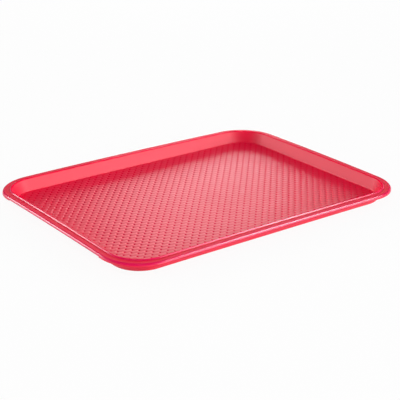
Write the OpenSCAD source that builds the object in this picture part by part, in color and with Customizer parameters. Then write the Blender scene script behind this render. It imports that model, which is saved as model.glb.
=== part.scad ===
// Rectangular serving tray, moulded in one piece: a flat floor, a low wall that leans
// outwards, and a rim with a raised bead along the hollow and a flat band outside it. The
// rim's outer edge rolls over and down into a short skirt.
// The skirt is deeper round the four corners, where stacked trays bear on each other.
// The floor carries a basketweave relief: strands that rise over and dive under by turns.
// Millimetres, +Z up, origin at the middle of the underside.

/* [Plan] */
// Overall length over the rim
tray_length = 410; // [250:5:480]
// Overall width over the rim
tray_width = 310; // [200:5:360]
// Corner radius of the rim's outer edge
corner_radius = 50; // [40:1:90]

/* [Section] */
// Height from the underside to the top of the rim's bead
tray_height = 18.4; // [15:0.1:40]
// Thickness of the wall, the rim and the skirt
wall_thickness = 2.2; // [1.8:0.1:2.6]
// Thickness of the floor, up to the tops of the weave
floor_thickness = 2.4; // [2.2:0.1:4]
// Width of the rim, from its outer edge to the edge of the hollow
rim_width = 11.2; // [9:0.1:16]
// Height of the bead over the rim's flat band
bead_height = 1.1; // [0.5:0.1:1.4]
// Width of the bead over its top, before its edges are rounded
bead_width = 1.2; // [1.2:0.1:4]
// Distance that the bead's outer side slopes outwards down to the band
bead_slope = 0.8; // [0.8:0.1:2]
// Distance that the wall leans inwards from the rim down to the floor
wall_lean = 6; // [2:0.1:12]

/* [Edges] */
// Radius of the rim's rolled outer edge
roll_radius = 2.7; // [2.7:0.1:5]
// Radius of the two edges over the bead
bead_radius = 0.8; // [0.3:0.1:0.8]
// Radius inside the hollow, where the wall meets the floor
foot_radius = 0.8; // [0.3:0.1:1.5]
// Radius outside, where the wall turns under the floor
heel_radius = 2.5; // [1:0.1:4]
// Radius under the rim, where it meets the wall
root_radius = 1.2; // [0.5:0.1:2]

/* [Skirt] */
// Depth of the skirt below the roll of the rim along the sides
skirt_depth = 0.2; // [0.2:0.1:4]
// Further depth of the skirt round the corners
corner_drop = 1.1; // [0.2:0.1:4]
// Length of the deeper skirt past each end of a corner's arc
corner_run = 4.5; // [1:0.5:20]

/* [Weave] */
// Length of a strand's rise, from one dive to the next
strand_length = 10.25; // [9.5:0.05:16]
// Width of a strand
strand_width = 5.83; // [5.4:0.01:9]
// Depth of the pits where the strands dive
pit_depth = 0.9; // [0.4:0.05:1]
// Width of the plain margin between the foot of the wall and the weave
weave_margin = 1.6; // [1.6:0.1:8]

/* [Hidden] */
$fn = 96;

tray_red = "#d8213f";

// Half sides of the plan, and the straight stretches between the corners' arcs
half_length = tray_length / 2;
half_width = tray_width / 2;
long_run = tray_length - 2 * corner_radius;
short_run = tray_width - 2 * corner_radius;

// Where the wall meets the floor, measured inwards from the rim's outer edge
floor_inset = rim_width + wall_lean;

// Height of the rim's flat band
band_height = tray_height - bead_height;

// The wall's slope: its drop, its length and its outward shift for one wall thickness
wall_drop = tray_height - floor_thickness;
wall_slope = sqrt(wall_lean * wall_lean + wall_drop * wall_drop);
wall_shift = wall_thickness * wall_slope / wall_drop;

// Laps that join the weave to its margin, and the plate under it to the swept section
margin_lap = 0.3;
plate_lap = 2;
weave_inset = floor_inset + weave_margin;
plate_inset = weave_inset + plate_lap / 2;
section_reach = plate_inset + plate_lap;

// Heights in the weave. Its crests stay just under the margin and its pits just over the plate.
crest_step = 0.05;
pit_step = 0.3;
crest_height = floor_thickness - crest_step;
pit_height = floor_thickness - pit_depth;
plate_thickness = pit_height - pit_step;

// Columns of half strands and rows of strands, from the middle of the floor to past its edge
weave_columns = ceil((half_length - weave_inset) * 2 / strand_length);
weave_rows = ceil((half_width - weave_inset) / strand_width);

// Flats in each rounding of the section
round_steps = 6;

// Inset of the wall's outer face at a height
function outer_inset(height) =
    rim_width + wall_lean * (tray_height - height) / wall_drop - wall_shift;

function unit(vector) = vector / norm(vector);

// Points of a rounding of radius r at corner v, between the lines from v to a and to b
function round_corner(a, v, b, r) =
    let (
        to_a = unit(a - v),
        to_b = unit(b - v),
        half_angle = acos(to_a * to_b) / 2,
        centre = v + unit(to_a + to_b) * r / sin(half_angle),
        start = unit(v + to_a * r / tan(half_angle) - centre),
        end = unit(v + to_b * r / tan(half_angle) - centre),
        sweep = 180 - 2 * half_angle
    )
    [
        for (step = [0:round_steps])
            centre + r * (start * sin(sweep * (1 - step / round_steps))
                + end * sin(sweep * step / round_steps)) / sin(sweep)
    ];

// Section through the rim, the wall and the edge of the floor, with a skirt of this depth.
// A point is its inset from the outer edge and its height.
module side_section(depth) {
    skirt_end = band_height - roll_radius - depth;
    rim_under = band_height - wall_thickness;
    outer_foot = [0, skirt_end];
    rim_outer = [0, band_height];
    bead_foot = [rim_width - bead_width - bead_slope, band_height];
    bead_outer = [rim_width - bead_width, tray_height];
    bead_inner = [rim_width, tray_height];
    wall_foot = [floor_inset, floor_thickness];
    floor_top = [weave_inset, floor_thickness];
    weave_edge = [weave_inset, plate_thickness];
    plate_top = [section_reach, plate_thickness];
    floor_under = [section_reach, 0];
    wall_heel = [outer_inset(0), 0];
    rim_root = [outer_inset(rim_under), rim_under];
    skirt_inner = [wall_thickness, rim_under];
    inner_foot = [wall_thickness, skirt_end];
    polygon(concat(
        [outer_foot],
        round_corner(outer_foot, rim_outer, bead_foot, roll_radius),
        [bead_foot],
        round_corner(bead_foot, bead_outer, bead_inner, bead_radius),
        round_corner(bead_outer, bead_inner, wall_foot, bead_radius),
        round_corner(bead_inner, wall_foot, floor_top, foot_radius),
        [floor_top, weave_edge, plate_top, floor_under],
        round_corner(floor_under, wall_heel, rim_root, heel_radius),
        round_corner(wall_heel, rim_root, skirt_inner, root_radius),
        [skirt_inner, inner_foot]
    ));
}

// Sweeps a section along a straight stretch centred on the X axis, its outer edge at x = reach
module straight_sweep(reach, run) {
    translate([reach, run / 2, 0])
        rotate([90, 0, 0])
            linear_extrude(run) mirror([1, 0]) children();
}

// One straight side between two corners: a middle with the plain skirt, two ends with the deeper one
module straight_side(reach, run) {
    middle_run = run - 2 * corner_run;
    straight_sweep(reach, middle_run) side_section(skirt_depth);
    for (end = [-1, 1])
        translate([0, end * (middle_run + corner_run) / 2, 0])
            straight_sweep(reach, corner_run) side_section(skirt_depth + corner_drop);
}

// The wall and the rim along the four sides and round the four corners
module rim_and_wall() {
    for (turn = [0, 180]) {
        rotate(turn) straight_side(half_length, short_run);
        rotate(turn + 90) straight_side(half_width, long_run);
    }
    for (flip_x = [0, 1], flip_y = [0, 1])
        mirror([flip_x, 0, 0]) mirror([0, flip_y, 0])
            translate([long_run / 2, short_run / 2, 0])
                rotate_extrude(angle = 90)
                    translate([corner_radius, 0]) mirror([1, 0])
                        side_section(skirt_depth + corner_drop);
}

// Plan of the floor at an inset from the rim's outer edge
module floor_outline(inset) {
    square([long_run, tray_width - 2 * inset], center = true);
    square([tray_length - 2 * inset, short_run], center = true);
    for (side_x = [-1, 1], side_y = [-1, 1])
        translate([side_x * long_run / 2, side_y * short_run / 2]) circle(corner_radius - inset);
}

// Place of a column's and a row's point in the list of the weave's points
function weave_index(column, row) =
    (column + weave_columns) * (2 * weave_rows + 1) + row + weave_rows;

function is_crest(column, row) = (column + row) % 2 == 0;

// The two faces between four neighbouring points, folded between the crests
function weave_faces(column, row) =
    let (
        here = weave_index(column, row),
        along = weave_index(column + 1, row),
        across = weave_index(column, row + 1),
        opposite = weave_index(column + 1, row + 1)
    )
    is_crest(column, row)
        ? [[here, opposite, along], [here, across, opposite]]
        : [[here, across, along], [along, across, opposite]];

// The relief over a rectangle: crests and pits by turns along both ways, on a flat base
module weave_block() {
    reach = [weave_columns * strand_length / 2, weave_rows * strand_width];
    relief = [
        for (column = [-weave_columns:weave_columns], row = [-weave_rows:weave_rows])
            [
                column * strand_length / 2,
                row * strand_width,
                is_crest(column, row) ? crest_height : pit_height
            ]
    ];
    base = [
        for (turn = [45:90:315])
            [-sign(cos(turn)) * reach.x, -sign(sin(turn)) * reach.y, plate_thickness / 2]
    ];
    base_face = [for (corner = [0:3]) len(relief) + corner];
    top_faces = [
        for (column = [-weave_columns:weave_columns - 1], row = [-weave_rows:weave_rows - 1])
            each weave_faces(column, row)
    ];
    front = [for (column = [-weave_columns:weave_columns]) weave_index(column, -weave_rows)];
    right = [for (row = [-weave_rows:weave_rows]) weave_index(weave_columns, row)];
    back = [for (column = [weave_columns:-1:-weave_columns]) weave_index(column, weave_rows)];
    left = [for (row = [weave_rows:-1:-weave_rows]) weave_index(-weave_columns, row)];
    borders = [front, right, back, left];
    side_faces = [
        for (side = [0:3])
            [base_face[side], each borders[side], base_face[(side + 1) % 4]]
    ];
    polyhedron(concat(relief, base), concat(top_faces, side_faces, [base_face]));
}

// The floor inside the swept section: a plate with the weave on it
module woven_floor() {
    linear_extrude(plate_thickness) floor_outline(plate_inset);
    intersection() {
        weave_block();
        linear_extrude(floor_thickness) floor_outline(weave_inset - margin_lap);
    }
}

// The whole moulding
module tray() {
    color(tray_red) {
        rim_and_wall();
        woven_floor();
    }
}

tray();
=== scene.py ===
"""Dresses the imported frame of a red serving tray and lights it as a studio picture.

The tray is one moulding. Its rim carries a raised bead along the hollow and rolls over at the
outer edge into a short skirt, its low wall leans outwards, and its floor carries a shallow
wicker-like relief of staggered pillows.
Everything is in metres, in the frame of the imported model: +Z up, the origin in the middle of
the underside, +X along the longer side. Sizes of the tray are written in millimetres.
"""

import logging
import math
from dataclasses import dataclass, field, replace
from enum import Enum

import bmesh
import bpy
from mathutils import Matrix, Vector

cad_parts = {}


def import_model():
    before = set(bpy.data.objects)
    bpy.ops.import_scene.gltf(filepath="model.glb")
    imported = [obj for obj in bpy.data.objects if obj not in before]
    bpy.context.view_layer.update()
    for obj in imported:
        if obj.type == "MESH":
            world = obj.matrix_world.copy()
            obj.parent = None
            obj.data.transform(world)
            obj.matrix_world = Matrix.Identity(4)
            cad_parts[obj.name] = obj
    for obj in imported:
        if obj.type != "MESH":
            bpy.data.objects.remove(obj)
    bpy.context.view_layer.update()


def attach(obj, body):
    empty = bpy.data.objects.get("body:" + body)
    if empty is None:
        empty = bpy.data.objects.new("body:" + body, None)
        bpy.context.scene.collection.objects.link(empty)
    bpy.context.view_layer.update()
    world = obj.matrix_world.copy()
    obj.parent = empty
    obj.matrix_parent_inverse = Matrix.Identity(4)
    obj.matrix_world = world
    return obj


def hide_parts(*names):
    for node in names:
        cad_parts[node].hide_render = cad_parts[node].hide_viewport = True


LOG = logging.getLogger("serving_tray")
MM = 0.001

# Points nearer to each other than this are one point, in millimetres
WELD = 1e-4
# Slack in telling the tray's parts apart by a point or by a face's middle, in millimetres
POINT_SLACK = 0.001
FACE_SLACK = 0.01

# Powers that shape the arches of the sides: across the tray, and along the side
OUTWARD_POWER = 4
ROUND_ARCH = 2
FLAT_ARCH = 4

# Stretches of the relief after which its mesh's lines repeat, in pillows and in rows
HALF_PILLOW = 0.5
WHOLE_ROW = 1.0

Colour = tuple[float, float, float, float]
Inset = tuple[float, float]
Socket = bpy.types.NodeSocket
Feed = Socket | float | tuple[float, ...]


class Surface(Enum):
    """Finishes of the moulding, numbered as its material slots."""

    SATIN = 0
    GRAINED = 1
    ROLLED = 2
    MATT = 3


@dataclass(frozen=True)
class NodeBench:
    """Adds nodes to a material or a world and joins them.

    Args:
        tree: The node tree to work on.
    """

    tree: bpy.types.NodeTree

    def add(self, kind: str) -> bpy.types.Node:
        """Adds a node of a kind."""
        return self.tree.nodes.new(kind)

    def feed(self, target: Socket, value: Feed) -> None:
        """Links an input to another node's output, or sets it.

        Args:
            target: The input.
            value: An output, a number, a vector or a colour.
        """
        if isinstance(value, Socket):
            self.tree.links.new(value, target)
        else:
            target.default_value = value

    def noise(self, place: Socket, scale: float, detail: float) -> Socket:
        """Adds a noise pattern.

        Args:
            place: Coordinates that the pattern lies in.
            scale: Number of its features in a metre.
            detail: Number of finer layers.

        Returns:
            The pattern's value, about 0.5 on average.
        """
        noise = self.add("ShaderNodeTexNoise")
        self.feed(noise.inputs["Vector"], place)
        self.feed(noise.inputs["Scale"], scale)
        self.feed(noise.inputs["Detail"], detail)
        return noise.outputs["Fac"]

    def ramp(
        self,
        value: Socket,
        first: Feed,
        last: Feed,
        begin: Feed = 0.0,
        end: Feed = 1.0,
        smooth: bool = False,
    ) -> Socket:
        """Adds a ramp from one level to another.

        Args:
            value: The value to follow.
            first: Level up to the beginning of the ramp.
            last: Level from the end of the ramp.
            begin: Value at which the ramp begins.
            end: Value at which it ends.
            smooth: Whether the ramp eases in and out.

        Returns:
            The level.
        """
        ramp = self.add("ShaderNodeMapRange")
        if smooth:
            ramp.interpolation_type = "SMOOTHSTEP"
        for name, level in (
            ("Value", value),
            ("From Min", begin),
            ("From Max", end),
            ("To Min", first),
            ("To Max", last),
        ):
            self.feed(ramp.inputs[name], level)
        return ramp.outputs["Result"]

    def calculate(self, operation: str, first: Feed, second: Feed) -> Socket:
        """Adds a calculation with two values.

        Args:
            operation: The kind of calculation.
            first: The first value.
            second: The second value.

        Returns:
            The result.
        """
        node = self.add("ShaderNodeMath")
        node.operation = operation
        self.feed(node.inputs[0], first)
        self.feed(node.inputs[1], second)
        return node.outputs[0]

    def seen(self) -> Socket:
        """Adds nodes that tell what is seen from what only gives light.

        Returns:
            A value of 1 for camera, glossy and transmitted rays, and 0 for the rest.
        """
        rays = self.add("ShaderNodeLightPath").outputs
        direct = self.calculate("MAXIMUM", rays["Is Camera Ray"], rays["Is Glossy Ray"])
        return self.calculate("MAXIMUM", direct, rays["Is Transmission Ray"])


@dataclass(frozen=True)
class MouldedPlastic:
    """Finish of a moulded plastic surface: tone, gloss and the grain left by the mould.

    Args:
        name: Name of the material.
        colour: Main tone, linear.
        deep_colour: Tone that the main one drifts to in wide, faint patches.
        roughness: Lowest and highest roughness.
        grain_size: Width of the mould's grain, in millimetres.
        grain_depth: Depth of the grain, in millimetres.
        gloss: Specular level of the shader.
        patch_scale: Number of patches of tone in a metre.
        patch_detail: Detail of the patches of tone.
        wear_scale: Number of patches of roughness in a metre.
        wear_detail: Detail of the patches of roughness.
        wear_range: Values of their pattern that give the lowest and the highest roughness.
        grain_detail: Detail of the grain.
    """

    name: str
    colour: Colour
    deep_colour: Colour
    roughness: tuple[float, float]
    grain_size: float
    grain_depth: float
    gloss: float = 0.5
    patch_scale: float = 14.0
    patch_detail: float = 3.0
    wear_scale: float = 60.0
    wear_detail: float = 6.0
    wear_range: tuple[float, float] = (0.3, 0.7)
    grain_detail: float = 2.0

    def material(self) -> bpy.types.Material:
        """Builds the node material.

        Returns:
            The material, ready to be put in a slot.
        """
        made = bpy.data.materials.new(self.name)
        made.use_nodes = True
        bench = NodeBench(made.node_tree)
        shader = made.node_tree.nodes["Principled BSDF"]
        shader.inputs["Specular IOR Level"].default_value = self.gloss
        place = bench.add("ShaderNodeTexCoord").outputs["Object"]

        tone = bench.add("ShaderNodeMix")
        tone.data_type = "RGBA"
        bench.feed(tone.inputs["A"], self.colour)
        bench.feed(tone.inputs["B"], self.deep_colour)
        bench.feed(tone.inputs["Factor"], bench.noise(place, self.patch_scale, self.patch_detail))
        bench.feed(shader.inputs["Base Color"], tone.outputs["Result"])

        wear = bench.noise(place, self.wear_scale, self.wear_detail)
        bench.feed(shader.inputs["Roughness"], bench.ramp(wear, *self.roughness, *self.wear_range))

        relief = bench.add("ShaderNodeBump")
        grain = bench.noise(place, 1.0 / (self.grain_size * MM), self.grain_detail)
        bench.feed(relief.inputs["Height"], grain)
        bench.feed(relief.inputs["Strength"], 1.0)
        bench.feed(relief.inputs["Distance"], self.grain_depth * MM)
        bench.feed(shader.inputs["Normal"], relief.outputs["Normal"])
        return made


@dataclass(frozen=True)
class TrayPlan:
    """Outline of the tray over its rim, in millimetres.

    Args:
        length: Overall length.
        width: Overall width.
        corner_radius: Radius of the rim's outer edge at the corners.
    """

    length: float = 410.0
    width: float = 310.0
    corner_radius: float = 50.0

    @property
    def arc_x(self) -> float:
        """Distance from the middle to a corner's centre, along the length."""
        return self.length / 2 - self.corner_radius

    @property
    def arc_y(self) -> float:
        """Distance from the middle to a corner's centre, along the width."""
        return self.width / 2 - self.corner_radius

    def inset_at(self, x: float, y: float) -> float:
        """Distance of a point inwards from the rim's outer edge.

        Args:
            x: Distance from the middle along the length.
            y: Distance from the middle along the width.

        Returns:
            The inset, which is below zero outside the tray.
        """
        over_x, over_y = abs(x) - self.arc_x, abs(y) - self.arc_y
        beyond = math.hypot(max(over_x, 0.0), max(over_y, 0.0))
        return self.corner_radius - beyond - min(max(over_x, over_y), 0.0)


@dataclass(frozen=True)
class TraySection:
    """Section through the rim, the wall and the edge of the floor, in millimetres.

    Args:
        height: Height of the bead's top over the underside.
        wall: Thickness of the wall, the rim and the skirt.
        floor: Thickness of the floor.
        rim_width: Width of the rim, from its outer edge to the hollow.
        bead_height: Height of the bead over the rim's band.
        bead_width: Width of the bead's top, before its edges are rounded.
        bead_slope: Width of the bead's outer slope.
        bead_radius: Radius of the bead's outer edge.
        bead_foot_radius: Radius where the bead meets the band.
        bead_inner_radius: Radius of the bead's inner edge.
        step_drop: Height of the upright step under the bead's inner edge.
        step_radius: Radius where that step meets the wall.
        wall_lean: Distance that the wall leans inwards, from the rim down to the floor.
        roll_radius: Radius of the rim's rolled outer edge.
        foot_radius: Radius in the hollow, where the wall meets the floor.
        heel_radius: Radius where the wall turns under the floor.
        root_radius: Radius under the rim, where it meets the wall.
        skirt_depth: Depth of the skirt below the roll, along the sides.
        skirt_edge: Radius of the skirt's two lower edges.
        margin: Width of the plain floor between the foot of the wall and the relief.
        plate: Height of the plate that closes the moulding under the relief.
        steps: Flats in a rounding.
        small_radius: Radius below which a rounding has fewer flats.
        small_steps: Flats in such a small rounding.
        easing: Distance from a rounding to the points that keep its sides flat, in radii.
    """

    height: float = 18.4
    wall: float = 2.2
    floor: float = 2.4
    rim_width: float = 11.2
    bead_height: float = 1.1
    bead_width: float = 1.2
    bead_slope: float = 0.93
    bead_radius: float = 0.8
    bead_foot_radius: float = 0.4
    bead_inner_radius: float = 0.4
    step_drop: float = 1.1
    step_radius: float = 0.3
    wall_lean: float = 6.0
    roll_radius: float = 2.7
    foot_radius: float = 0.8
    heel_radius: float = 2.5
    root_radius: float = 1.2
    skirt_depth: float = 0.2
    skirt_edge: float = 0.3
    margin: float = 1.6
    plate: float = 0.9
    steps: int = 7
    small_radius: float = 1.0
    small_steps: int = 3
    easing: float = 0.05

    @property
    def floor_inset(self) -> float:
        """Inset of the foot of the wall."""
        return self.rim_width + self.wall_lean

    @property
    def weave_inset(self) -> float:
        """Inset of the edge of the floor's relief."""
        return self.floor_inset + self.margin

    @property
    def wall_drop(self) -> float:
        """Drop of the wall from the rim to the floor."""
        return self.height - self.floor

    @property
    def band(self) -> float:
        """Height of the rim's flat band, outside the bead."""
        return self.height - self.bead_height

    @property
    def bead_foot_inset(self) -> float:
        """Inset of the line where the bead meets the band."""
        return self.rim_width - self.bead_width - self.bead_slope

    @property
    def skirt_end(self) -> float:
        """Height of the skirt's lower edge along the sides."""
        return self.band - self.roll_radius - self.skirt_depth

    def outer_inset(self, height: float) -> float:
        """Inset of the wall's outer face.

        Args:
            height: Height over the underside.

        Returns:
            The inset of the face at that height.
        """
        slope = math.hypot(self.wall_lean, self.wall_drop)
        shift = self.wall * slope / self.wall_drop
        return self.rim_width + self.wall_lean * (self.height - height) / self.wall_drop - shift

    def rounding(self, before: Inset, corner: Inset, after: Inset, radius: float) -> list[Inset]:
        """Points of a rounded corner, with a point on each side that keeps the faces flat.

        Args:
            before: A point on the line that comes into the corner.
            corner: The sharp corner.
            after: A point on the line that leaves the corner.
            radius: Radius of the rounding.

        Returns:
            The points of the arc in order, from the incoming line to the outgoing one.
        """
        vertex = Vector(corner)
        to_before = (Vector(before) - vertex).normalized()
        to_after = (Vector(after) - vertex).normalized()
        half = to_before.angle(to_after) / 2
        centre = vertex + (to_before + to_after).normalized() * (radius / math.sin(half))
        cut = radius / math.tan(half)
        start = vertex + to_before * cut - centre
        end = vertex + to_after * cut - centre
        sweep = math.pi - 2 * half
        steps = self.small_steps if radius < self.small_radius else self.steps
        arc = [
            centre
            + (start * math.sin(sweep * (1 - step / steps)) + end * math.sin(sweep * step / steps))
            / math.sin(sweep)
            for step in range(steps + 1)
        ]
        reach = cut + self.easing * radius
        points = [vertex + to_before * reach, *arc, vertex + to_after * reach]
        return [(point.x, point.y) for point in points]

    def points(self) -> list[Inset]:
        """Points of the section from the floor's top, over the rim, to the underside.

        Returns:
            Inset and height of each point.
        """
        under = self.band - self.wall
        floor_top = (self.weave_inset, self.floor)
        wall_foot = (self.floor_inset, self.floor)
        step_foot = (self.rim_width, self.height - self.step_drop)
        bead_inner = (self.rim_width, self.height)
        bead_outer = (self.rim_width - self.bead_width, self.height)
        bead_foot = (self.bead_foot_inset, self.band)
        rim_outer = (0.0, self.band)
        skirt_outer = (0.0, self.skirt_end)
        skirt_inner = (self.wall, self.skirt_end)
        skirt_top = (self.wall, under)
        root = (self.outer_inset(under), under)
        heel = (self.outer_inset(0.0), 0.0)
        floor_under = (self.weave_inset, 0.0)
        return [
            (self.weave_inset, self.plate),
            floor_top,
            *self.rounding(floor_top, wall_foot, step_foot, self.foot_radius),
            *self.rounding(wall_foot, step_foot, bead_inner, self.step_radius),
            *self.rounding(step_foot, bead_inner, bead_outer, self.bead_inner_radius),
            *self.rounding(bead_inner, bead_outer, bead_foot, self.bead_radius),
            *self.rounding(bead_outer, bead_foot, rim_outer, self.bead_foot_radius),
            *self.rounding(bead_foot, rim_outer, skirt_outer, self.roll_radius),
            *self.rounding(rim_outer, skirt_outer, skirt_inner, self.skirt_edge)[1:],
            *self.rounding(skirt_outer, skirt_inner, skirt_top, self.skirt_edge),
            skirt_top,
            *self.rounding(skirt_top, root, heel, self.root_radius),
            *self.rounding(root, heel, floor_under, self.heel_radius),
            floor_under,
        ]


@dataclass(frozen=True)
class WickerRelief:
    """Relief of the floor: rows of flat pillows, each row shifted by half a pillow.

    A deep pit lies between the ends of neighbouring pillows, where a strand of real wicker
    dives under a stake, and a faint groove parts the rows. Sizes are in millimetres.

    Args:
        pillow_length: Length of a pillow, from one pit to the next.
        row_width: Width of a row of pillows.
        depth: Depth of the pits.
        clearance: Depth of the pillows' tops below the floor's plain margin.
        pit_length: Half length of a pit, along the row.
        pit_width: Half width of a pit, across the row.
        pit_steepness: Steepness of a pit's sides, where 1 gives a plain bell shape.
        groove_width: Half width of the groove between two rows.
        groove_share: Depth of the groove, as a share of the pits' depth.
        crown_share: Fall of a pillow towards its long edges, as a share of the pits' depth.
        columns: Places of the mesh's lines along half a pillow, as shares of its length.
        rows: Places of the mesh's lines across a row, as shares of its width.
        shift_x: Shift of the pattern along the tray's length.
        shift_y: Shift of the pattern along the tray's width.
    """

    pillow_length: float = 10.25
    row_width: float = 5.83
    depth: float = 0.8
    clearance: float = 0.03
    pit_length: float = 1.05
    pit_width: float = 1.5
    pit_steepness: float = 1.3
    groove_width: float = 0.5
    groove_share: float = 0.31
    crown_share: float = 0.03
    columns: tuple[float, ...] = (0.0, 0.1, 0.25, 0.4)
    rows: tuple[float, ...] = (0.0, 0.09, 0.29, 0.5, 0.71, 0.91)
    shift_x: float = -4.4
    shift_y: float = -1.1

    def depth_at(self, x: float, y: float) -> float:
        """Depth of the relief below the floor's top.

        Args:
            x: Distance from the middle along the length.
            y: Distance from the middle along the width.

        Returns:
            The depth, from almost zero on a pillow to the full depth in a pit.
        """
        rows_up = (y - self.shift_y) / self.row_width
        row = math.floor(rows_up)
        pillows_along = (x - self.shift_x) / self.pillow_length + HALF_PILLOW * (row % 2)
        to_end = (pillows_along - round(pillows_along)) * self.pillow_length
        to_middle = (rows_up - row - 0.5) * self.row_width
        to_groove = self.row_width / 2 - abs(to_middle)
        apart = (to_end / self.pit_length) ** 2 + (to_middle / self.pit_width) ** 2
        pit = math.exp(-(apart**self.pit_steepness))
        groove = self.groove_share * math.exp(-((to_groove / self.groove_width) ** 2))
        crown = self.crown_share * (2 * to_middle / self.row_width) ** 2
        return self.clearance + self.depth * max(pit, groove, crown)


@dataclass
class TrayMoulding:
    """The whole tray: rim, skirt, wall and floor in one piece, in millimetres.

    Args:
        plan: Outline of the tray.
        section: Section of its rim and wall.
        relief: Relief of its floor.
        corner_drop: Further depth of the skirt round the corners.
        corner_run: Length of the deeper skirt past each end of a corner's arc.
        corner_ramp: Length in which the skirt goes from one depth to the other.
        corner_steps: Flats in a corner's arc.
        side_steps: Stretches of mesh in half a side.
        long_arch: Rise of the rim from the corners to the middle of a long side.
        short_arch: Rise of the rim from the corners to the middle of a short side.
        heel_lift: Rise of the heel at the middle of a long side.
        pit_share: Depth from which a pit is matt, as a share of the pits' depth.
        bead_gloss: Width of the glossy part of the bead's top.
        sheet_bury: Distance that the relief's edge reaches into the plain margin.
        sheet_under: Height of the underside of the relief's sheet.
        sheet_corner_cuts: Flats in a corner of the relief's sheet.
        sharp_angle: Angle in degrees from which an edge is shaded as a sharp one.
    """

    plan: TrayPlan = field(default_factory=TrayPlan)
    section: TraySection = field(default_factory=TraySection)
    relief: WickerRelief = field(default_factory=WickerRelief)
    corner_drop: float = 1.1
    corner_run: float = 4.5
    corner_ramp: float = 0.4
    corner_steps: int = 28
    side_steps: int = 9
    long_arch: float = 1.9
    short_arch: float = 1.55
    heel_lift: float = 1.1
    pit_share: float = 0.36
    bead_gloss: float = 0.45
    sheet_bury: float = 0.4
    sheet_under: float = 0.6
    sheet_corner_cuts: int = 8
    sharp_angle: float = 40.0

    def build(self, finishes: dict[Surface, MouldedPlastic]) -> bpy.types.Object:
        """Builds the tray's mesh, dresses it and puts it in the scene.

        Args:
            finishes: The finish for each kind of surface.

        Returns:
            The tray's object.
        """
        mould = self.sweep_rim()
        self.drop_corner_skirts(mould)
        self.mark_finishes(mould)
        self.arch_sides(mould)
        sheet = self.weave_sheet()
        self.mark_pits(sheet)
        shape = bpy.data.meshes.new("tray_moulding")
        sheet.to_mesh(shape)
        mould.from_mesh(shape)
        bmesh.ops.scale(mould, vec=(MM, MM, MM), verts=mould.verts)
        mould.to_mesh(shape)
        sheet.free()
        mould.free()
        shape.shade_smooth()
        shape.set_sharp_from_angle(angle=math.radians(self.sharp_angle))
        for surface in Surface:
            shape.materials.append(finishes[surface].material())
        tray = bpy.data.objects.new("tray_moulding", shape)
        bpy.context.scene.collection.objects.link(tray)
        return tray

    def sweep_rim(self) -> bmesh.types.BMesh:
        """Sweeps the section round a quarter of the plan, mirrors it and closes the floor.

        Returns:
            A closed shell in millimetres.
        """
        mould = bmesh.new()
        ring = [
            mould.verts.new((self.plan.length / 2 - inset, self.plan.arc_y, height))
            for inset, height in self.section.points()
        ]
        edges = [mould.edges.new(pair) for pair in zip(ring, ring[1:])]
        turned = bmesh.ops.spin(
            mould,
            geom=ring + edges,
            cent=(self.plan.arc_x, self.plan.arc_y, 0.0),
            axis=(0.0, 0.0, 1.0),
            angle=math.radians(90),
            steps=self.corner_steps,
            use_merge=False,
            use_duplicate=False,
        )["geom_last"]
        far_edges = [item for item in turned if isinstance(item, bmesh.types.BMEdge)]
        self.run_straight(mould, edges, Vector((0.0, -1.0, 0.0)), self.plan.arc_y)
        self.run_straight(mould, far_edges, Vector((-1.0, 0.0, 0.0)), self.plan.arc_x)
        for axis in "XY":
            whole = mould.verts[:] + mould.edges[:] + mould.faces[:]
            bmesh.ops.mirror(mould, geom=whole, matrix=Matrix(), merge_dist=WELD, axis=axis)
        self.close(mould)
        return mould

    def run_straight(
        self, mould: bmesh.types.BMesh, edges: list[bmesh.types.BMEdge], way: Vector, length: float
    ) -> None:
        """Draws the section out along half a side, with a stop at each end of the skirt's ramp.

        Args:
            mould: The mesh that grows.
            edges: The section's edges at the end of the corner's arc.
            way: Direction of the side, towards its middle.
            length: Length of the half side.
        """
        rest = length - self.corner_run - self.corner_ramp
        stops = [self.corner_run, self.corner_ramp] + [rest / self.side_steps] * self.side_steps
        for stop in stops:
            drawn = bmesh.ops.extrude_edge_only(mould, edges=edges)["geom"]
            moved = [item for item in drawn if isinstance(item, bmesh.types.BMVert)]
            edges = [item for item in drawn if isinstance(item, bmesh.types.BMEdge)]
            bmesh.ops.translate(mould, verts=moved, vec=way * stop)

    def drop_corner_skirts(self, mould: bmesh.types.BMesh) -> None:
        """Lowers the skirt's edge round the corners, where stacked trays bear on each other.

        Args:
            mould: The swept shell.
        """
        edge_top = self.section.skirt_end + 2 * self.section.skirt_edge
        inner = self.section.wall + 2 * self.section.skirt_edge
        from_x = self.plan.arc_x - self.corner_run - POINT_SLACK
        from_y = self.plan.arc_y - self.corner_run - POINT_SLACK
        feet = [
            vert
            for vert in mould.verts
            if abs(vert.co.x) > from_x
            and abs(vert.co.y) > from_y
            and self.section.skirt_end - POINT_SLACK < vert.co.z < edge_top
            and self.plan.inset_at(vert.co.x, vert.co.y) < inner
        ]
        bmesh.ops.translate(mould, verts=feet, vec=(0.0, 0.0, -self.corner_drop))

    def arch_sides(self, mould: bmesh.types.BMesh) -> None:
        """Lets the rim sink from the middle of each side towards the corners.

        The wall sinks with the rim by its height, and the heel rises along the long sides.

        Args:
            mould: The swept shell, with its skirts and finishes in place.
        """
        section = self.section
        for vert in mould.verts:
            over_x = min(abs(vert.co.x) / (self.plan.length / 2), 1.0)
            over_y = min(abs(vert.co.y) / (self.plan.width / 2), 1.0)
            long_side = self.arch(self.long_arch, over_x, over_y, ROUND_ARCH)
            short_side = self.arch(self.short_arch, over_y, over_x, ROUND_ARCH)
            share = (vert.co.z - section.floor) / (section.band - section.floor)
            sunk = self.long_arch - (long_side + short_side)
            vert.co.z -= sunk * min(max(share, 0.0), 1.0)
            inset = self.plan.inset_at(vert.co.x, vert.co.y)
            if vert.co.z < section.floor and inset < section.weave_inset - POINT_SLACK:
                vert.co.z += self.arch(self.heel_lift, over_x, over_y, FLAT_ARCH)

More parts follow.
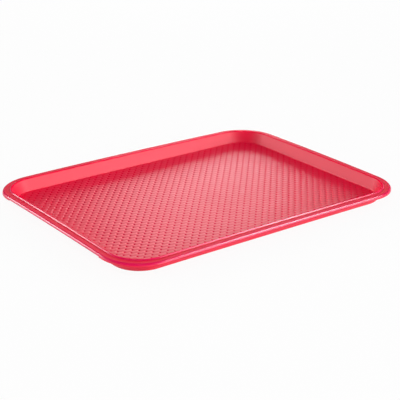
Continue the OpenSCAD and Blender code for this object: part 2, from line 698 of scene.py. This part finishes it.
    @staticmethod
    def arch(rise: float, along: float, outwards: float, power: int) -> float:
        """Height of an arch over one side, which fades towards the middle of the tray.

        Args:
            rise: Height in the middle of the side.
            along: Place along the side, from 0 in its middle to 1 at its end.
            outwards: Place across the tray, from 0 in its middle to 1 at the side.
            power: Power of the arch's curve, which is flatter on top with a higher one.

        Returns:
            The height.
        """
        return rise * (1 - along**power) * outwards**OUTWARD_POWER

    def mark_finishes(self, mould: bmesh.types.BMesh) -> None:
        """Makes the band grained, the bead's inner side matt and the rest of the rim glossy.

        Args:
            mould: The swept shell, before its sides are arched.
        """
        section = self.section
        crest = section.rim_width - section.bead_width + self.bead_gloss
        for face in mould.faces:
            middle = face.calc_center_median()
            inset = self.plan.inset_at(middle.x, middle.y)
            if inset > crest and middle.z > section.height - section.step_drop:
                face.material_index = Surface.MATT.value
            elif abs(middle.z - section.band) < FACE_SLACK:
                face.material_index = Surface.GRAINED.value
            elif inset < section.rim_width - FACE_SLACK and middle.z > section.skirt_end:
                face.material_index = Surface.ROLLED.value

    def mark_pits(self, sheet: bmesh.types.BMesh) -> None:
        """Gives the bottoms of the relief's pits their matt finish.

        Args:
            sheet: The relief's sheet.
        """
        matt_below = self.section.floor - self.pit_share * self.relief.depth
        for face in sheet.faces:
            if face.calc_center_median().z < matt_below and face.normal.z > 0.0:
                face.material_index = Surface.MATT.value

    def weave_sheet(self) -> bmesh.types.BMesh:
        """Makes the floor's relief as a closed sheet whose edge is buried in the margin.

        Returns:
            The sheet, in millimetres.
        """
        relief = self.relief
        inset = self.section.weave_inset - self.sheet_bury
        half_x, half_y = self.plan.length / 2 - inset, self.plan.width / 2 - inset
        pillows = 2 * math.ceil(half_x / relief.pillow_length + 1)
        rows = 2 * math.ceil(half_y / relief.row_width + 1)
        cells_x, cells_y = pillows * 2 * len(relief.columns), rows * len(relief.rows)
        sheet = bmesh.new()
        bmesh.ops.create_grid(
            sheet,
            x_segments=cells_x,
            y_segments=cells_y,
            size=1.0,
            matrix=Matrix.Diagonal((cells_x / 2, cells_y / 2, 1.0, 1.0)),
        )
        for vert in sheet.verts:
            along = self.graduated(vert.co.x, relief.columns, HALF_PILLOW)
            across = self.graduated(vert.co.y, relief.rows, WHOLE_ROW)
            x = along * relief.pillow_length + relief.shift_x
            y = across * relief.row_width + relief.shift_y
            vert.co = (x, y, self.section.floor - relief.depth_at(x, y))
        self.trim(sheet, half_x, half_y, self.plan.corner_radius - inset)
        border = [edge for edge in sheet.edges if edge.is_boundary]
        drawn = bmesh.ops.extrude_edge_only(sheet, edges=border)["geom"]
        for item in drawn:
            if isinstance(item, bmesh.types.BMVert):
                item.co.z = self.sheet_under
        self.close(sheet)
        return sheet

    @staticmethod
    def close(shell: bmesh.types.BMesh) -> None:
        """Closes a shell and turns its faces outwards, by the sign of its volume.

        Args:
            shell: The shell, open along one or more borders.
        """
        borders = [edge for edge in shell.edges if edge.is_boundary]
        bmesh.ops.holes_fill(shell, edges=borders, sides=0)
        bmesh.ops.recalc_face_normals(shell, faces=shell.faces)
        if shell.calc_volume(signed=True) < 0.0:
            bmesh.ops.reverse_faces(shell, faces=shell.faces)

    @staticmethod
    def graduated(count: float, stops: tuple[float, ...], period: float) -> float:
        """Moves an evenly spaced grid line to its place in a repeated row of stops.

        Args:
            count: Number of the grid line, from the middle.
            stops: Places of the lines in one period.
            period: Length of the period.

        Returns:
            The place of the line.
        """
        turn, stop = divmod(round(count), len(stops))
        return turn * period + stops[stop]

    def trim(self, sheet: bmesh.types.BMesh, half_x: float, half_y: float, radius: float) -> None:
        """Cuts the sheet to a rounded rectangle.

        Args:
            sheet: The sheet to cut.
            half_x: Half of the outline along the length.
            half_y: Half of the outline along the width.
            radius: Radius of the outline's corners.
        """
        for turn in (0.0, 180.0):
            self.cut_side(sheet, half_x, turn)
            self.cut_side(sheet, half_y, turn + 90.0)
        for step in range(self.sheet_corner_cuts):
            tilt = math.radians(90.0 * (step + 0.5) / self.sheet_corner_cuts)
            edge_x = half_x - radius + radius * math.cos(tilt)
            edge_y = half_y - radius + radius * math.sin(tilt)
            for side_x in (-1.0, 1.0):
                for side_y in (-1.0, 1.0):
                    self.cut_at(
                        sheet,
                        Vector((side_x * edge_x, side_y * edge_y, 0.0)),
                        Vector((side_x * math.cos(tilt), side_y * math.sin(tilt), 0.0)),
                    )

    def cut_side(self, sheet: bmesh.types.BMesh, reach: float, turn: float) -> None:
        """Cuts off what lies beyond a straight side.

        Args:
            sheet: The sheet to cut.
            reach: Distance of the side from the middle.
            turn: Direction of the side in degrees, from +X towards +Y.
        """
        spin = Matrix.Rotation(math.radians(turn), 3, "Z")
        self.cut_at(sheet, spin @ Vector((reach, 0.0, 0.0)), spin @ Vector((1.0, 0.0, 0.0)))

    @staticmethod
    def cut_at(sheet: bmesh.types.BMesh, point: Vector, outwards: Vector) -> None:
        """Cuts off what lies outside an upright plane.

        Args:
            sheet: The sheet to cut.
            point: A point on the plane.
            outwards: Direction of the side that is cut off.
        """
        bmesh.ops.bisect_plane(
            sheet,
            geom=sheet.verts[:] + sheet.edges[:] + sheet.faces[:],
            dist=WELD,
            plane_co=point,
            plane_no=outwards,
            clear_outer=True,
        )


@dataclass(frozen=True)
class SoftLamp:
    """A soft lamp, a level rectangle that faces the tray.

    Args:
        name: Name of the lamp.
        azimuth: Direction round the tray in degrees, from +X towards +Y.
        elevation: Height above the horizon in degrees.
        distance: Distance from the tray in metres.
        length: Level side of the lamp in metres.
        breadth: Other side of the lamp in metres.
        brightness: Radiance of the lamp's face, where 1 is white.
        only_shine: Whether the lamp shows in the gloss alone.
        no_shine: Whether the lamp stays out of the gloss.
    """

    name: str
    azimuth: float
    elevation: float
    distance: float
    length: float
    breadth: float
    brightness: float
    only_shine: bool = False
    no_shine: bool = False

    def hang(self) -> bpy.types.Object:
        """Puts the lamp in the scene.

        Returns:
            The lamp's object.
        """
        data = bpy.data.lights.new(self.name, "AREA")
        data.shape = "RECTANGLE"
        data.size = self.length
        data.size_y = self.breadth
        data.energy = self.brightness * math.pi * self.length * self.breadth
        turn, tilt = math.radians(self.azimuth), math.radians(self.elevation)
        level = math.cos(tilt)
        way = Vector((math.cos(turn) * level, math.sin(turn) * level, math.sin(tilt)))
        across = way.cross(Vector((-math.sin(turn), math.cos(turn), 0.0))).normalized()
        facing = Matrix((across.cross(way), across, way)).transposed()
        lamp = bpy.data.objects.new(self.name, data)
        lamp.matrix_world = Matrix.Translation(way * self.distance) @ facing.to_4x4()
        lamp.visible_camera = False
        lamp.visible_diffuse = not self.only_shine
        lamp.visible_glossy = not self.no_shine
        bpy.context.scene.collection.objects.link(lamp)
        return lamp


@dataclass(frozen=True)
class Viewpoint:
    """The camera, placed by its angles round the tray's origin.

    Args:
        azimuth: Direction of the camera in degrees, from -Y towards +X.
        elevation: Height above the horizon in degrees.
        roll: Turn of the camera round its own axis in degrees.
        distance: Distance from the origin in metres.
        focal_length: Focal length in millimetres.
        sensor_width: Width of the picture's plane in millimetres.
        shift_x: Shift of the picture sideways, as a share of its width.
        shift_y: Shift of the picture upwards, as a share of its width.
    """

    azimuth: float = -36.768
    elevation: float = 21.509
    roll: float = 0.294
    distance: float = 1.36076
    focal_length: float = 99.808
    sensor_width: float = 36.0
    shift_x: float = 0.00528
    shift_y: float = -0.00397

    def stand(self) -> bpy.types.Object:
        """Puts the camera in the scene and makes it the one that renders.

        Returns:
            The camera's object.
        """
        turn, tilt = math.radians(self.azimuth), math.radians(self.elevation)
        level = math.cos(tilt)
        back = Vector((math.sin(turn) * level, -math.cos(turn) * level, math.sin(tilt)))
        right = Vector((math.cos(turn), math.sin(turn), 0.0))
        upright = Matrix((right, back.cross(right), back)).transposed()
        rolled = upright @ Matrix.Rotation(math.radians(self.roll), 3, "Z")
        data = bpy.data.cameras.new("studio_camera")
        data.sensor_width = self.sensor_width
        data.lens = self.focal_length
        data.shift_x = self.shift_x
        data.shift_y = self.shift_y
        camera = bpy.data.objects.new("studio_camera", data)
        camera.matrix_world = Matrix.Translation(back * self.distance) @ rolled.to_4x4()
        bpy.context.scene.collection.objects.link(camera)
        bpy.context.scene.camera = camera
        return camera


@dataclass(frozen=True)
class Surroundings:
    """The air round the studio: white at the horizon, dark overhead and on one side.

    Some values differ between the air as a light and the air as it is seen, by the camera or
    in a gloss. Heights are sines of the elevation.

    Args:
        lit_strength: Strength as a light. As it is seen, the air is plain white.
        white_up_to: Height up to which the air keeps its strength.
        lit_dark_from: Height from which it is darkest, as a light.
        seen_dark_from: Height from which it is darkest, as it is seen.
        overhead: Share of the strength that is left overhead.
        side_azimuth: Direction of the dark side in degrees, from +X towards +Y.
        side_from: Where the dark side begins, as the cosine of the angle from its middle.
        side_to: Where it is darkest, as the cosine of that angle.
        lit_side: Share of the strength that is left there, as a light.
        seen_side: Share of the strength that is left there, as it is seen.
        shine: Share of the strength that shows in a gloss.
    """

    lit_strength: float = 3.1
    white_up_to: float = 0.2
    lit_dark_from: float = 0.7
    seen_dark_from: float = 0.5
    overhead: float = 0.06
    side_azimuth: float = -143.0
    side_from: float = 0.6
    side_to: float = 0.95
    lit_side: float = 0.05
    seen_side: float = 0.0
    shine: float = 0.12

    def spread(self) -> bpy.types.World:
        """Builds the surroundings and gives them to the scene.

        Returns:
            The world with the surroundings' nodes.
        """
        world = bpy.data.worlds.new("studio_surroundings")
        world.use_nodes = True
        bench = NodeBench(world.node_tree)
        air = world.node_tree.nodes["Background"]
        bench.feed(air.inputs["Color"], (1.0, 1.0, 1.0, 1.0))
        around = bench.add("ShaderNodeTexCoord").outputs["Generated"]
        seen = bench.seen()
        way = bench.add("ShaderNodeSeparateXYZ")
        bench.feed(way.inputs[0], around)
        dark_from = bench.ramp(seen, self.lit_dark_from, self.seen_dark_from)
        rise = bench.ramp(
            way.outputs["Z"], 1.0, self.overhead, self.white_up_to, dark_from, smooth=True
        )
        turn = math.radians(self.side_azimuth)
        towards = bench.add("ShaderNodeVectorMath")
        towards.operation = "DOT_PRODUCT"
        bench.feed(towards.inputs[0], around)
        bench.feed(towards.inputs[1], (math.cos(turn), math.sin(turn), 0.0))
        side = bench.ramp(
            towards.outputs["Value"],
            1.0,
            bench.ramp(seen, self.lit_side, self.seen_side),
            self.side_from,
            self.side_to,
            smooth=True,
        )
        shaded = bench.calculate("MULTIPLY", rise, side)
        strength = bench.calculate("MULTIPLY", bench.ramp(seen, self.lit_strength, 1.0), shaded)
        glossy = bench.add("ShaderNodeLightPath").outputs["Is Glossy Ray"]
        shown = bench.calculate("MULTIPLY", strength, bench.ramp(glossy, 1.0, self.shine))
        bench.feed(air.inputs["Strength"], shown)
        bpy.context.scene.world = world
        return world


@dataclass
class Studio:
    """Pale floor, white surroundings and soft lamps round the tray.

    Args:
        floor_side: Side of the floor in metres.
        floor_gap: Gap between the floor and the tray's underside in metres.
        floor_colour: Tone of the floor where it takes light and shadow.
        floor_glow: Share of plain white in the floor as it is seen.
        surroundings: The air round the studio.
        lamps: The lamps, of which the strips show in the gloss alone.
        viewpoint: The camera.
    """

    floor_side: float = 8.0
    floor_gap: float = 0.0002
    floor_colour: Colour = (0.76, 0.76, 0.76, 1.0)
    floor_glow: float = 0.94
    surroundings: Surroundings = field(default_factory=Surroundings)
    # Name, azimuth, elevation, distance, length, breadth and brightness of each lamp
    lamps: tuple[SoftLamp, ...] = (
        SoftLamp("wash_right", -61.0, 13.0, 2.2, 2.0, 0.9, 3.1),
        SoftLamp("wash_left", 135.0, 8.0, 2.2, 1.5, 0.8, 1.5),
        SoftLamp("wash_back", 53.2, 12.8, 2.0, 0.65, 0.46, 6.3),
        SoftLamp("wash_front", -143.0, 60.0, 2.2, 1.0, 1.0, 3.0, no_shine=True),
        SoftLamp("strip_right", -33.3, 46.0, 1.26, 0.5, 0.5, 12.5, only_shine=True),
        SoftLamp("strip_left", 119.8, 28.7, 1.28, 0.4, 0.4, 7.8, only_shine=True),
    )
    viewpoint: Viewpoint = field(default_factory=Viewpoint)

    def build(self) -> list[bpy.types.ID]:
        """Sets up the floor, the surroundings, the lamps and the camera.

        Returns:
            What was set up, in that order.
        """
        bpy.context.scene.view_settings.view_transform = "Standard"
        return [
            self.lay_floor(),
            self.surroundings.spread(),
            *(lamp.hang() for lamp in self.lamps),
            self.viewpoint.stand(),
        ]

    def lay_floor(self) -> bpy.types.Object:
        """Lays the pale floor, which keeps the tray's shadow.

        Returns:
            The floor's object.
        """
        shape = bpy.data.meshes.new("studio_floor")
        plane = bmesh.new()
        bmesh.ops.create_grid(plane, x_segments=1, y_segments=1, size=self.floor_side / 2)
        bmesh.ops.translate(plane, verts=plane.verts, vec=(0.0, 0.0, -self.floor_gap))
        plane.to_mesh(shape)
        plane.free()
        shape.materials.append(self.floor_material())
        floor = bpy.data.objects.new("studio_floor", shape)
        bpy.context.scene.collection.objects.link(floor)
        return floor

    def floor_material(self) -> bpy.types.Material:
        """Builds a matt material that glows almost white where it is seen.

        Returns:
            The floor's material.
        """
        made = bpy.data.materials.new("studio_floor")
        made.use_nodes = True
        made.node_tree.nodes.clear()
        bench = NodeBench(made.node_tree)
        matt = bench.add("ShaderNodeBsdfDiffuse")
        bench.feed(matt.inputs["Color"], self.floor_colour)
        glow = bench.add("ShaderNodeEmission")
        bench.feed(glow.inputs["Strength"], 1.0)
        mix = bench.add("ShaderNodeMixShader")
        bench.feed(mix.inputs["Fac"], bench.calculate("MULTIPLY", bench.seen(), self.floor_glow))
        bench.feed(mix.inputs[1], matt.outputs[0])
        bench.feed(mix.inputs[2], glow.outputs[0])
        bench.feed(bench.add("ShaderNodeOutputMaterial").inputs["Surface"], mix.outputs[0])
        return made


def tray_finishes() -> dict[Surface, MouldedPlastic]:
    """Describes the finishes of the tray, all in the same red plastic.

    Returns:
        The finish for each kind of surface.
    """
    satin = MouldedPlastic(
        name="satin_red",
        colour=(0.87, 0.002, 0.050, 1.0),
        deep_colour=(0.82, 0.001, 0.042, 1.0),
        roughness=(0.36, 0.41),
        grain_size=1.6,
        grain_depth=0.004,
    )
    return {
        Surface.SATIN: satin,
        Surface.GRAINED: MouldedPlastic(
            name="grained_red",
            colour=(0.82, 0.002, 0.04, 1.0),
            deep_colour=(0.77, 0.001, 0.035, 1.0),
            roughness=(0.5, 0.6),
            grain_size=0.45,
            grain_depth=0.03,
            gloss=0.12,
        ),
        Surface.ROLLED: MouldedPlastic(
            name="rolled_red",
            colour=(0.82, 0.002, 0.085, 1.0),
            deep_colour=(0.79, 0.001, 0.080, 1.0),
            roughness=(0.2, 0.25),
            grain_size=1.6,
            grain_depth=0.002,
            gloss=1.0,
        ),
        Surface.MATT: replace(
            satin, name="matt_red", roughness=(0.7, 0.8), grain_depth=0.002, gloss=0.0
        ),
    }


def main() -> None:
    """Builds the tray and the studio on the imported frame."""
    logging.basicConfig(level=logging.INFO, format="%(name)s: %(message)s")
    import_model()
    tray = TrayMoulding().build(tray_finishes())
    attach(tray, "root")
    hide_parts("tray")
    LOG.info("%s: %d faces", tray.name, len(tray.data.polygons))
    for fitting in Studio().build():
        LOG.info("%s: set up", fitting.name)


if __name__ == "__main__":
    main()
